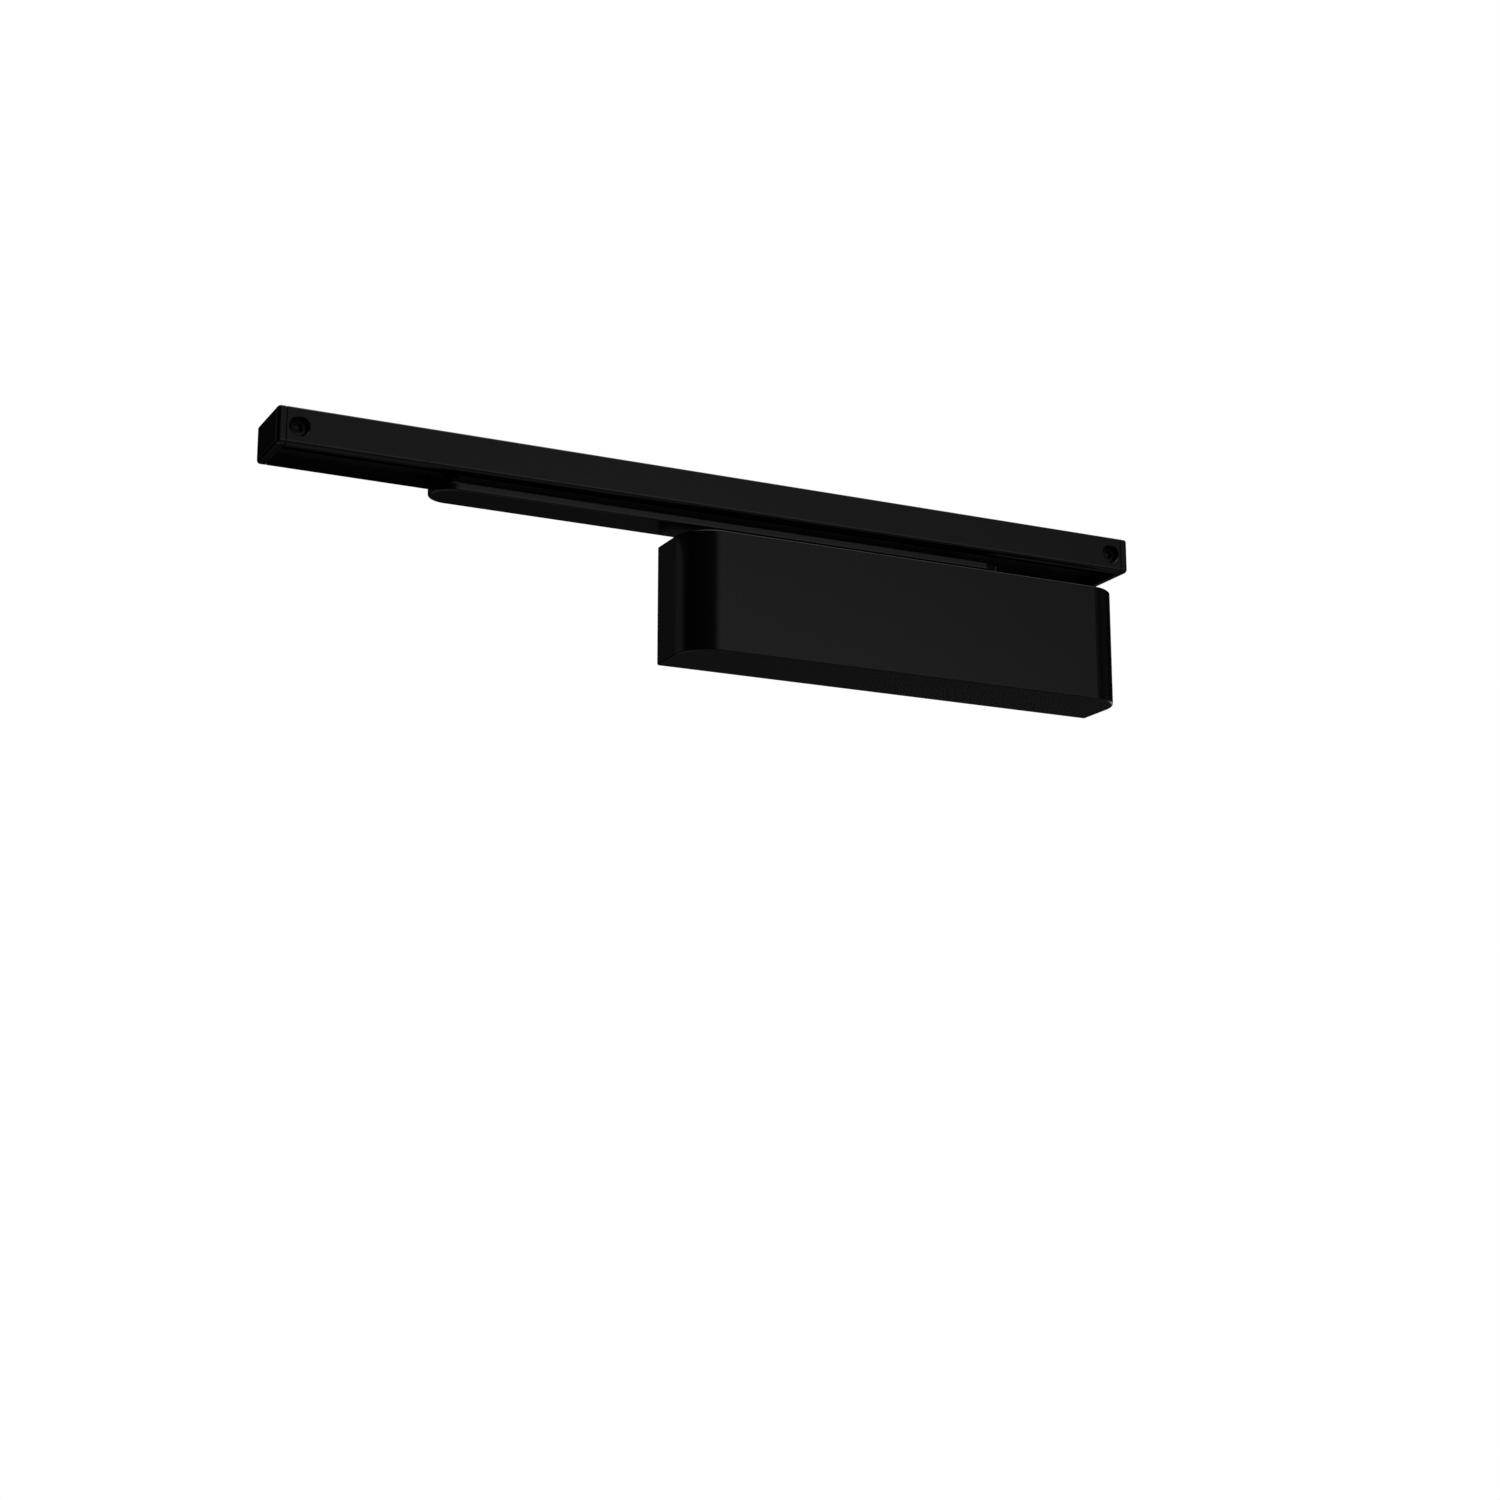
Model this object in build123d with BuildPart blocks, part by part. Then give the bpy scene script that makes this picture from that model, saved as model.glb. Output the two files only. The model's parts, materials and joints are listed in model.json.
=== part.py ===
"""Slide-arm overhead door closer: closer body, slide arm and guide rail.

Frame: +X to the right seen from the room, +Y into the door, +Z up.
The door face is the plane y = 0. The origin is the centre of the body's fixing holes on that face.
"""

import os
from math import acos, cos, pi, radians, sin, tan

from build123d import *

os.makedirs("parts", exist_ok=True)

# ---------------------------------------------------------------- driving dimensions (mm)

# Running and assembly clearances
running_gap = 0.04
thread_gap = 0.08
channel_gap = 0.2
shell_gap = 0.3

# How far a cut runs past a face, and how closely faces are picked
over_cut = 1.0
pick_gap = 0.01

# Cover
cover_length = 246.0
cover_height = 60.0
cover_depth = 38.0
cover_wall = 2.0
cover_corner_r = 17.5
cover_edge_r = 1.0
cover_notch_gap = 1.5

# Mounting plate, inside the cover
plate_end_gap = 3.0
plate_side_gap = 1.0
plate_thickness = 3.0
plate_corner_r = 4.0
fixing_from_housing = 7.0
fixing_spacing_z = 32.0
fixing_hole_r = 2.75

# Housing: room left inside the cover, cylinder and the wall behind it
housing_end_room = 17.0
housing_side_room = 3.0
housing_front_room = 1.5
housing_edge_r = 2.0
bore_r = 12.0
bore_back_wall = 2.5
housing_screw_inset = 34.0
housing_screw_edge = 5.5
housing_screw_r = 2.5
housing_screw_head_r = 4.25
housing_screw_head_h = 5.0
housing_screw_sink = 0.6
housing_screw_gap = 0.25
housing_screw_key = 3.5
housing_screw_key_depth = 2.75

# Spindle, rack and pinion
spindle_r = 7.0
gear_module = 1.25
gear_dedendum = 1.25
pinion_teeth = 12
pressure_angle = 25.0
gear_backlash = 0.12
pinion_overhang = 0.2
pinion_core_gap = 0.5
flank_steps = 5
swing_degrees = 165.0
spindle_square = 9.5
spindle_end_gap = 0.4
spindle_pass_gap = 0.45

# Spindle bearings, seals and caps, from the cylinder outwards
bearing_lift = 0.6
bearing_length = 6.4
bearing_ledge = 0.8
seal_length = 3.0
cap_ledge = 2.0
cap_stand = 1.4

# Piston
window_end_gap = 1.0
window_side_gap = 0.45
spring_head_length = 16.0
damping_head_length = 12.0
piston_rest_gap = 2.0
piston_seal_width = 3.0
piston_seal_depth = 1.8
piston_seal_inset = 5.0
check_bore_r = 3.5
check_bore_depth = 8.0
check_port_r = 1.5
check_ball_r = 2.5
check_plug_length = 3.2

# End plugs, power adjuster and spring
plug_ledge = 2.0
plug_length = 12.0
plug_seal_depth = 1.8
plug_seal_width = 2.4
plug_seal_inset = 3.0
plug_key_width = 4.0
plug_key_depth = 1.5
adjuster_r = 4.0
adjuster_collar_r = 6.5
adjuster_collar_length = 2.0
adjuster_travel = 12.0
adjuster_key = 4.0
adjuster_key_depth = 5.0
seat_thickness = 5.0
seat_start = 20.0
spring_wire_r = 2.0
spring_side_gap = 0.7
spring_turns = 9
spring_end_gap = 0.1

# Regulating valves, in the end face on the damping side
valve_front_offset = 9.5
valve_back_offset = 9.0
valve_plug_gap = 3.0
valve_r = 3.0
valve_length = 13.0
valve_bore_depth = 16.0
valve_tip_r = 1.3
valve_tip_length = 4.5
valve_port_r = 1.2
valve_slot = 0.9
valve_seal_width = 1.4
valve_seal_depth = 0.9
valve_seal_inset = 7.0

# Oil filler plug, on top of the housing
filler_x = -30.0
filler_r = 4.0
filler_head_r = 5.5
filler_head_h = 1.6
filler_clear = 2.0
filler_key = 3.0

# Cover clips
clip_width = 14.0
clip_thickness = 1.0
clip_foot = 12.0
clip_reach = 15.0
clip_bow = 1.0
clip_waist_share = 0.45
clip_grip_share = 0.7

# Slide arm
arm_width = 22.0
arm_thickness = 4.5
arm_edge_r = 1.1
arm_clear = 3.3
arm_centres = 283.0
arm_fit = 0.05
arm_screw_r = 3.0
arm_screw_head_r = 7.5
arm_screw_head_h = 2.3
arm_screw_dome_r = 0.8
arm_screw_length = 12.0
arm_screw_key = 4.0
arm_screw_key_depth = 1.5

# Slide pin, clip, bush and block
pin_r = 4.0
pin_head_rim = 1.0
pin_head_h = 1.0
pin_collar_rim = 2.0
pin_collar_clear = 1.1
pin_groove = 1.0
pin_groove_depth = 1.0
pin_clip_rim = 1.6
pin_tip = 1.4
bush_wall = 1.5
bush_flange_rim = 1.7
bush_flange_h = 1.0
block_length = 34.0
block_corner_r = 3.0
block_counterbore_gap = 0.4
block_counterbore_depth = 4.2

# Rail
rail_length = 455.0
rail_height = 18.0
rail_depth = 33.0
rail_wall = 2.5
rail_gap = 11.5
rail_beyond_pin = 88.4
rail_slot_gap = 0.5
rail_mouth_height = 4.5
rail_front_lip = 4.5
rail_back_lip = 2.0
rail_ledge = 2.0
rail_top_edge_r = 1.0
rail_bottom_edge_r = 2.0
rail_back_edge_r = 0.5
rail_cap_flange = 4.2
rail_cap_gap = 0.5
rail_cap_neck_inset = 0.8
rail_cap_rim_r = 1.8
rail_plug_length = 18.3
rail_screw_inset = 10.5
rail_screw_r = 2.5
rail_screw_neck_r = 2.2
rail_screw_hole_gap = 0.25
rail_screw_head_r = 3.9
rail_screw_head_h = 3.2
rail_screw_recess_r = 4.5
rail_screw_recess_rim = 0.5
rail_screw_recess = 2.6
rail_screw_beyond = 12.0
rail_screw_point = 2.0
rail_screw_point_rim = 1.0
rail_screw_key = 4.0
rail_screw_key_depth = 2.0

# ---------------------------------------------------------------- places worked out from them

cover_top = cover_height / 2
plate_length = cover_length - 2 * (cover_wall + plate_end_gap)
plate_height = cover_height - 2 * (cover_wall + plate_side_gap)
housing_length = cover_length - 2 * (cover_wall + housing_end_room)
housing_height = cover_height - 2 * (cover_wall + housing_side_room)
housing_front = cover_depth - cover_wall - housing_front_room
housing_depth = housing_front - plate_thickness
housing_top = housing_height / 2
housing_end = housing_length / 2
axis_depth = plate_thickness + bore_back_wall + bore_r
fixing_spacing_x = housing_length + 2 * fixing_from_housing
housing_screw_x = housing_length - 2 * housing_screw_inset
housing_screw_z = housing_height - 2 * housing_screw_edge

pitch_r = gear_module * pinion_teeth / 2
pinion_tip_r = pitch_r + gear_module
pinion_root_r = pitch_r - gear_dedendum * gear_module
rack_crest = pitch_r - gear_module
rack_root = pitch_r + gear_dedendum * gear_module
rack_pitch = pi * gear_module
piston_stroke = pitch_r * radians(swing_degrees)

plug_r = bore_r + plug_ledge
plug_inner = housing_end - plug_length
piston_r = bore_r - running_gap
piston_right = plug_inner - piston_rest_gap
window_right = piston_right - damping_head_length
spindle_x = window_right - window_end_gap - piston_stroke - pinion_tip_r
window_left = spindle_x - pinion_tip_r - window_end_gap
piston_left = window_left - spring_head_length
pinion_half_face = (piston_r**2 - rack_crest**2) ** 0.5 + pinion_overhang

bearing_start = bore_r + bearing_lift
bearing_end = bearing_start + bearing_length
pocket_r = pinion_tip_r + spindle_pass_gap
bearing_r = pocket_r + bearing_ledge
seal_end = bearing_end + seal_length
cap_r = bearing_r + cap_ledge

seat_left = -plug_inner + seat_start
seat_right = seat_left + seat_thickness
spring_mean_r = bore_r - spring_wire_r - spring_side_gap

valve_height = plug_r + valve_plug_gap
valve_places = {
    "closing_speed_valve": (axis_depth + valve_front_offset, valve_height),
    "latching_speed_valve": (axis_depth + valve_front_offset, -valve_height),
    "backcheck_valve": (axis_depth - valve_back_offset, valve_height),
}

arm_bottom = cover_top + arm_clear
arm_top = arm_bottom + arm_thickness
pin_x = spindle_x - arm_centres
pin_head_r = pin_r + pin_head_rim
pin_collar_r = pin_r + pin_collar_rim
pin_collar_h = rail_gap - arm_clear - arm_thickness - pin_collar_clear
pin_clip_r = pin_r + pin_clip_rim
bush_r = pin_r + bush_wall
bush_flange_r = bush_r + bush_flange_rim

rail_left = pin_x - rail_beyond_pin
rail_right = rail_left + rail_length
rail_middle = (rail_left + rail_right) / 2
rail_bottom = cover_top + rail_gap
rail_top = rail_bottom + rail_height
mouth_top = rail_bottom + rail_mouth_height
channel_bottom = mouth_top + rail_ledge
channel_top = rail_top - rail_wall
channel_height = channel_top - channel_bottom
channel_width = 2 * min(axis_depth - rail_wall, rail_depth - rail_wall - axis_depth)
rail_slot = 2 * (pin_r + rail_slot_gap)
rail_cap_room = rail_cap_flange + rail_cap_gap
profile_length = rail_length - 2 * rail_cap_room

block_width = channel_width - 2 * channel_gap
block_height = channel_height - 2 * channel_gap
block_bottom = channel_bottom + channel_gap
block_top = channel_top - channel_gap
pin_top = block_top - pin_tip / 2

screw_head_seat = rail_depth - rail_screw_recess - rail_screw_head_h


# ---------------------------------------------------------------- helpers


def cylinder_plane(x):
    """Plane across the cylinder: local x is +Y, local y is +Z, normal +X."""
    return Plane(origin=(x, -axis_depth, 0), x_dir=(0, 1, 0), z_dir=(1, 0, 0))


def spindle_plane(z):
    """Horizontal plane centred on the spindle axis."""
    return Plane(origin=(spindle_x, -axis_depth, z), x_dir=(1, 0, 0), z_dir=(0, 0, 1))


def pin_plane(z):
    """Horizontal plane centred on the slide pin's axis."""
    return Plane(origin=(pin_x, -axis_depth, z), x_dir=(1, 0, 0), z_dir=(0, 0, 1))


def valve_plane(x, depth, height):
    """Plane across a valve: local x is +Y, normal +X."""
    return Plane(origin=(x, -depth, height), x_dir=(0, 1, 0), z_dir=(1, 0, 0))


def save(piece, label):
    """Label a finished piece and write it as its own STEP file."""
    piece.label = label
    export_step(piece, f"parts/{label}.step")


def make_ring(plane, outer_r, inner_r, length):
    """A plain ring that stands on a plane."""
    with BuildPart() as ring:
        with BuildSketch(plane):
            Circle(outer_r)
            Circle(inner_r, mode=Mode.SUBTRACT)
        extrude(amount=length)
    return ring.part


def involute(radius):
    """Involute function at a radius of the pinion."""
    angle = acos(pitch_r * cos(radians(pressure_angle)) / radius)
    return tan(angle) - angle


def flank_point(radius, side):
    """Point of a pinion tooth's flank; the tooth is centred on local +X."""
    half_tooth = pi / (2 * pinion_teeth) - gear_backlash / (4 * pitch_r)
    angle = side * (half_tooth + involute(pitch_r) - involute(radius))
    return (radius * cos(angle), radius * sin(angle))


# ---------------------------------------------------------------- mounting plate and housing


def make_backplate():
    with BuildPart() as backplate:
        with BuildSketch(Plane.XZ):
            RectangleRounded(plate_length, plate_height, plate_corner_r)
            with GridLocations(fixing_spacing_x, fixing_spacing_z, 2, 2):
                Circle(fixing_hole_r, mode=Mode.SUBTRACT)
            with GridLocations(housing_screw_x, housing_screw_z, 2, 2):
                Circle(housing_screw_r, mode=Mode.SUBTRACT)
        extrude(amount=plate_thickness)
    return backplate.part


def make_housing():
    with BuildPart() as housing:
        with BuildSketch(Plane.XZ.offset(plate_thickness)):
            Rectangle(housing_length, housing_height)
        extrude(amount=housing_depth)
        fillet(housing.edges().filter_by(Axis.X), housing_edge_r)

        # Cylinder, with a wider seat for the plug at each end
        with BuildSketch(cylinder_plane(-housing_end)):
            Circle(bore_r)
        extrude(amount=housing_length, mode=Mode.SUBTRACT)
        for seat_x in (-housing_end, plug_inner):
            with BuildSketch(cylinder_plane(seat_x)):
                Circle(plug_r)
            extrude(amount=plug_length, mode=Mode.SUBTRACT)

        # Spindle pocket from above and below: way in, bearing seat, cap seat
        with BuildSketch(spindle_plane(-housing_top)):
            Circle(pocket_r)
        extrude(amount=housing_height, mode=Mode.SUBTRACT)
        for radius, start in ((bearing_r, bearing_start), (cap_r, seal_end)):
            for base in (start, -housing_top):
                with BuildSketch(spindle_plane(base)):
                    Circle(radius)
                extrude(amount=housing_top - start, mode=Mode.SUBTRACT)

        # Fixing screws from the front
        with BuildSketch(Plane.XZ.offset(plate_thickness)):
            with GridLocations(housing_screw_x, housing_screw_z, 2, 2):
                Circle(housing_screw_r + housing_screw_gap)
        extrude(amount=housing_depth, mode=Mode.SUBTRACT)
        with BuildSketch(Plane.XZ.offset(housing_front - housing_screw_head_h - housing_screw_sink)):
            with GridLocations(housing_screw_x, housing_screw_z, 2, 2):
                Circle(housing_screw_head_r + housing_screw_gap)
        extrude(amount=housing_screw_head_h + housing_screw_sink, mode=Mode.SUBTRACT)

        # Regulating valve bores, each with a needle bore and a port into the cylinder
        for depth, height in valve_places.values():
            needle_end = housing_end - valve_bore_depth - valve_tip_length
            with BuildSketch(valve_plane(housing_end - valve_bore_depth, depth, height)):
                Circle(valve_r + running_gap)
            extrude(amount=valve_bore_depth, mode=Mode.SUBTRACT)
            with BuildSketch(valve_plane(needle_end, depth, height)):
                Circle(valve_tip_r + running_gap)
            extrude(amount=valve_tip_length, mode=Mode.SUBTRACT)
            to_axis = Vector(0, depth - axis_depth, -height)
            port_x = needle_end + valve_tip_length / 2
            with BuildSketch(Plane(origin=(port_x, -depth, height), z_dir=to_axis)):
                Circle(valve_port_r)
            extrude(amount=to_axis.length - bore_r + over_cut, mode=Mode.SUBTRACT)

        # Oil filler
        with BuildSketch(Plane(origin=(filler_x, -axis_depth, 0))):
            Circle(filler_r)
        extrude(amount=housing_top, mode=Mode.SUBTRACT)
    return housing.part


def make_housing_screws():
    head_seat = housing_front - housing_screw_head_h - housing_screw_sink
    with BuildPart() as screws:
        with BuildSketch(Plane.XZ):
            with GridLocations(housing_screw_x, housing_screw_z, 2, 2):
                Circle(housing_screw_r)
        extrude(amount=head_seat)
        with BuildSketch(Plane.XZ.offset(head_seat)):
            with GridLocations(housing_screw_x, housing_screw_z, 2, 2):
                Circle(housing_screw_head_r)
        extrude(amount=housing_screw_head_h)
        socket_depth = housing_screw_key_depth
        with BuildSketch(Plane.XZ.offset(head_seat + housing_screw_head_h - socket_depth)):
            with GridLocations(housing_screw_x, housing_screw_z, 2, 2):
                RegularPolygon(housing_screw_key / 2, 6, major_radius=False)
        extrude(amount=socket_depth, mode=Mode.SUBTRACT)
    return screws.part


# ---------------------------------------------------------------- cover and its clips


def make_cover():
    with BuildPart() as cover:
        with BuildSketch(Plane.XY.offset(-cover_top)) as outline:
            with Locations((0, -cover_depth / 2)):
                Rectangle(cover_length, cover_depth)
            fillet(outline.vertices().group_by(Axis.Y)[0], cover_corner_r)
        extrude(amount=cover_height)
        rims = cover.faces().filter_by(Axis.Z).edges()
        fillet(rims.filter_by(lambda edge: edge.center().Y < -cover_edge_r), cover_edge_r)

        with BuildSketch(Plane.XY.offset(cover_wall - cover_top)) as inside:
            with Locations((0, (cover_wall - cover_depth) / 2)):
                Rectangle(cover_length - 2 * cover_wall, cover_depth - cover_wall)
            fillet(inside.vertices().group_by(Axis.Y)[0], cover_corner_r - cover_wall)
        extrude(amount=cover_height - 2 * cover_wall, mode=Mode.SUBTRACT)

        # Notch for the spindle, open to the door so that the cover lifts straight off
        notch_r = spindle_r + cover_notch_gap
        with BuildSketch(spindle_plane(cover_top - cover_wall)):
            Circle(notch_r)
            with Locations((0, axis_depth / 2)):
                Rectangle(2 * notch_r, axis_depth)
        extrude(amount=cover_wall, mode=Mode.SUBTRACT)
    return cover.part


def make_cover_clip(side):
    """Bent spring strip on the plate that holds the end wall of the cover."""
    wall_inside = cover_length / 2 - cover_wall - shell_gap
    leaf = wall_inside - clip_bow
    points = [
        (side * (leaf - clip_foot), -plate_thickness),
        (side * leaf, -plate_thickness),
        (side * leaf, -plate_thickness - clip_reach * clip_waist_share),
        (side * wall_inside, -plate_thickness - clip_reach * clip_grip_share),
        (side * leaf, -plate_thickness - clip_reach),
        (side * (leaf - clip_thickness), -plate_thickness - clip_reach),
        (side * (wall_inside - clip_thickness), -plate_thickness - clip_reach * clip_grip_share),
        (side * (leaf - clip_thickness), -plate_thickness - clip_reach * clip_waist_share),
        (side * (leaf - clip_thickness), -plate_thickness - clip_thickness),
        (side * (leaf - clip_foot), -plate_thickness - clip_thickness),
    ]
    with BuildPart() as clip:
        with BuildSketch(Plane.XY.offset(-clip_width / 2)):
            with BuildLine():
                Polyline(points, close=True)
            make_face()
        extrude(amount=clip_width)
    return clip.part


# ---------------------------------------------------------------- end plugs, adjuster and spring


def make_end_plug(side):
    """Threaded plug of the cylinder; side is +1 for the damping end and -1 for the spring end."""
    start = plug_inner if side > 0 else -housing_end
    seal_start = side * (plug_inner + plug_seal_inset) - (plug_seal_width if side < 0 else 0)
    key_start = housing_end - plug_key_depth if side > 0 else -housing_end
    with BuildPart() as plug:
        with BuildSketch(cylinder_plane(start)):
            Circle(plug_r)
        extrude(amount=plug_length)
        with BuildSketch(cylinder_plane(seal_start)):
            Circle(plug_r)
            Circle(plug_r - plug_seal_depth, mode=Mode.SUBTRACT)
        extrude(amount=plug_seal_width, mode=Mode.SUBTRACT)
        with BuildSketch(cylinder_plane(key_start)):
            with GridLocations(2 * bore_r - plug_key_width, 0, 2, 1):
                Circle(plug_key_width / 2)
        extrude(amount=plug_key_depth, mode=Mode.SUBTRACT)
        if side < 0:
            with BuildSketch(cylinder_plane(start)):
                Circle(adjuster_r)
            extrude(amount=plug_length, mode=Mode.SUBTRACT)
            with BuildSketch(cylinder_plane(seal_start)):
                Circle(adjuster_r + plug_seal_depth)
            extrude(amount=plug_seal_width, mode=Mode.SUBTRACT)
    return plug.part


def make_end_plug_seal(side):
    seal_start = side * (plug_inner + plug_seal_inset) - (plug_seal_width if side < 0 else 0)
    return make_ring(cylinder_plane(seal_start), plug_r, plug_r - plug_seal_depth, plug_seal_width)


def make_adjuster_seal():
    seal_start = -plug_inner - plug_seal_inset - plug_seal_width
    return make_ring(cylinder_plane(seal_start), adjuster_r + plug_seal_depth, adjuster_r, plug_seal_width)


def make_tension_adjuster():
    journal_r = adjuster_r - running_gap
    thread_length = seat_start + seat_thickness + adjuster_travel + running_gap
    with BuildPart() as adjuster:
        with BuildSketch(cylinder_plane(-housing_end)):
            Circle(journal_r)
        extrude(amount=plug_length)
        with BuildSketch(cylinder_plane(-plug_inner + running_gap)):
            Circle(adjuster_collar_r)
        extrude(amount=adjuster_collar_length)
        with BuildSketch(cylinder_plane(-plug_inner)):
            Circle(journal_r)
        extrude(amount=thread_length)
        with BuildSketch(cylinder_plane(-housing_end)):
            RegularPolygon(adjuster_key / 2, 6, major_radius=False)
        extrude(amount=adjuster_key_depth, mode=Mode.SUBTRACT)
    return adjuster.part


def make_spring_seat():
    inner_r = adjuster_r + thread_gap
    return make_ring(cylinder_plane(seat_left), bore_r - running_gap, inner_r, seat_thickness)


def make_closing_spring():
    first = seat_right + spring_end_gap + spring_wire_r
    last = piston_left - spring_end_gap - spring_wire_r
    with BuildPart() as spring:
        with BuildLine() as coil:
            Helix(
                pitch=(last - first) / spring_turns,
                height=last - first,
                radius=spring_mean_r,
                center=(first, -axis_depth, 0),
                direction=(1, 0, 0),
            )
        with BuildSketch(Plane(origin=coil.line @ 0, z_dir=coil.line % 0)):
            Circle(spring_wire_r)
        sweep(path=coil.line, is_frenet=True)
    return spring.part


# ---------------------------------------------------------------- piston group


def make_piston():
    slope = tan(radians(pressure_angle))
    half_gap = rack_pitch / 4 + gear_backlash / 4
    gap_points = [
        (half_gap + gear_module * slope, rack_crest),
        (half_gap - (rack_root - pitch_r) * slope, rack_root),
        (-half_gap + (rack_root - pitch_r) * slope, rack_root),
        (-half_gap - gear_module * slope, rack_crest),
    ]
    first_gap = -int((spindle_x - window_left) / rack_pitch)
    last_gap = int((window_right - spindle_x) / rack_pitch)

    with BuildPart() as piston:
        with BuildSketch(cylinder_plane(piston_left)):
            Circle(piston_r)
        extrude(amount=piston_right - piston_left)

        # Window for the pinion; its front wall is the rack
        window_back = pinion_tip_r + window_side_gap
        window_centre_y = (window_back - rack_crest) / 2
        window_centre_x = (window_left + window_right) / 2 - spindle_x
        with BuildSketch(spindle_plane(-bore_r)):
            with Locations((window_centre_x, window_centre_y)):
                Rectangle(window_right - window_left, window_back + rack_crest)
            for gap in range(first_gap, last_gap + 1):
                with BuildLine():
                    Polyline([(gap * rack_pitch + x, -y) for x, y in gap_points], close=True)
                make_face()
        extrude(amount=2 * bore_r, mode=Mode.SUBTRACT)

        # Seal groove on the spring head
        with BuildSketch(cylinder_plane(piston_left + piston_seal_inset)):
            Circle(bore_r)
            Circle(piston_r - piston_seal_depth, mode=Mode.SUBTRACT)
        extrude(amount=piston_seal_width, mode=Mode.SUBTRACT)

        # Check valve bore and port through the damping head
        with BuildSketch(cylinder_plane(piston_right - check_bore_depth)):
            Circle(check_bore_r)
        extrude(amount=check_bore_depth, mode=Mode.SUBTRACT)
        with BuildSketch(cylinder_plane(window_right - over_cut)):
            Circle(check_port_r)
        extrude(amount=damping_head_length, mode=Mode.SUBTRACT)
    return piston.part


def make_piston_seal():
    start = piston_left + piston_seal_inset
    outer_r = bore_r - running_gap / 2
    inner_r = piston_r - piston_seal_depth
    return make_ring(cylinder_plane(start), outer_r, inner_r, piston_seal_width)


def make_check_valve_ball():
    seat_lift = (check_ball_r**2 - check_port_r**2) ** 0.5
    centre_x = piston_right - check_bore_depth + seat_lift + running_gap
    with BuildPart(Plane(origin=(centre_x, -axis_depth, 0))) as ball:
        Sphere(check_ball_r)
    return ball.part


def make_check_valve_plug():
    start = piston_right - check_plug_length
    return make_ring(cylinder_plane(start), check_bore_r, check_port_r, check_plug_length)


# ---------------------------------------------------------------- spindle group


def make_pinion_shaft():
    base_r = pitch_r * cos(radians(pressure_angle))
    radii = [base_r + (pinion_tip_r - base_r) * step / flank_steps for step in range(flank_steps + 1)]
    inner_r = pinion_root_r - pinion_core_gap
    tip_start = flank_point(pinion_tip_r, -1)
    tip_end = flank_point(pinion_tip_r, 1)
    foot = flank_point(base_r, 1)

    with BuildPart() as shaft:
        with BuildSketch(spindle_plane(-pinion_half_face)):
            Circle(pinion_root_r)
            with BuildSketch(mode=Mode.PRIVATE) as tooth:
                with BuildLine():
                    Spline([flank_point(radius, -1) for radius in radii])
                    ThreePointArc(tip_start, (pinion_tip_r, 0), tip_end)
                    Spline([flank_point(radius, 1) for radius in reversed(radii)])
                    Polyline(foot, (inner_r, foot[1]), (inner_r, -foot[1]), (foot[0], -foot[1]))
                make_face()
            with PolarLocations(0, pinion_teeth):
                add(tooth.sketch)
        extrude(amount=2 * pinion_half_face)

        # Journals, then the square that drives the arm
        with BuildSketch(spindle_plane(pinion_half_face)):
            Circle(spindle_r)
        extrude(amount=arm_bottom - pinion_half_face)
        with BuildSketch(spindle_plane(spindle_end_gap - seal_end)):
            Circle(spindle_r)
        extrude(amount=seal_end - spindle_end_gap - pinion_half_face)
        with BuildSketch(spindle_plane(arm_bottom)):
            Rectangle(spindle_square, spindle_square)
        extrude(amount=arm_thickness - spindle_end_gap)

        # Thread for the arm screw
        with BuildSketch(spindle_plane(arm_top - arm_screw_length - spindle_end_gap)):
            Circle(arm_screw_r)
        extrude(amount=arm_screw_length + spindle_end_gap, mode=Mode.SUBTRACT)
    return shaft.part


def make_bearing(side):
    start = bearing_start if side > 0 else -bearing_end
    return make_ring(spindle_plane(start), bearing_r, spindle_r + running_gap, bearing_end - bearing_start)


def make_shaft_seal(side):
    start = bearing_end if side > 0 else -seal_end
    return make_ring(spindle_plane(start), bearing_r, spindle_r + running_gap, seal_end - bearing_end)


def make_bearing_cap_top():
    length = housing_top - seal_end + cap_stand
    return make_ring(spindle_plane(seal_end), cap_r, spindle_r + shell_gap, length)


def make_bearing_cap_bottom():
    length = housing_top - seal_end + cap_stand
    with BuildPart() as cap:
        with BuildSketch(spindle_plane(-seal_end - length)):
            Circle(cap_r)
        extrude(amount=length)
        with BuildSketch(spindle_plane(-seal_end - length)):
            with PolarLocations(cap_r - plug_key_width, 2):
                Circle(plug_key_width / 2)
        extrude(amount=plug_key_depth, mode=Mode.SUBTRACT)
    return cap.part


# ---------------------------------------------------------------- valves and oil filler


def make_valve(depth, height):
    start = housing_end - valve_length
    with BuildPart() as valve:
        with BuildSketch(valve_plane(start, depth, height)):
            Circle(valve_r)
        extrude(amount=valve_length)
        with BuildSketch(valve_plane(start - valve_tip_length, depth, height)):
            Circle(valve_tip_r)
        extrude(amount=valve_tip_length)
        with BuildSketch(valve_plane(housing_end - valve_seal_inset, depth, height)):
            Circle(valve_r)
            Circle(valve_r - valve_seal_depth, mode=Mode.SUBTRACT)
        extrude(amount=valve_seal_width, mode=Mode.SUBTRACT)
        with BuildSketch(valve_plane(housing_end - valve_slot, depth, height)):
            Rectangle(2 * valve_r, valve_slot)
        extrude(amount=valve_slot, mode=Mode.SUBTRACT)
    return valve.part


def make_valve_seal(depth, height):
    plane = valve_plane(housing_end - valve_seal_inset, depth, height)
    return make_ring(plane, valve_r + running_gap / 2, valve_r - valve_seal_depth, valve_seal_width)


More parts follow.
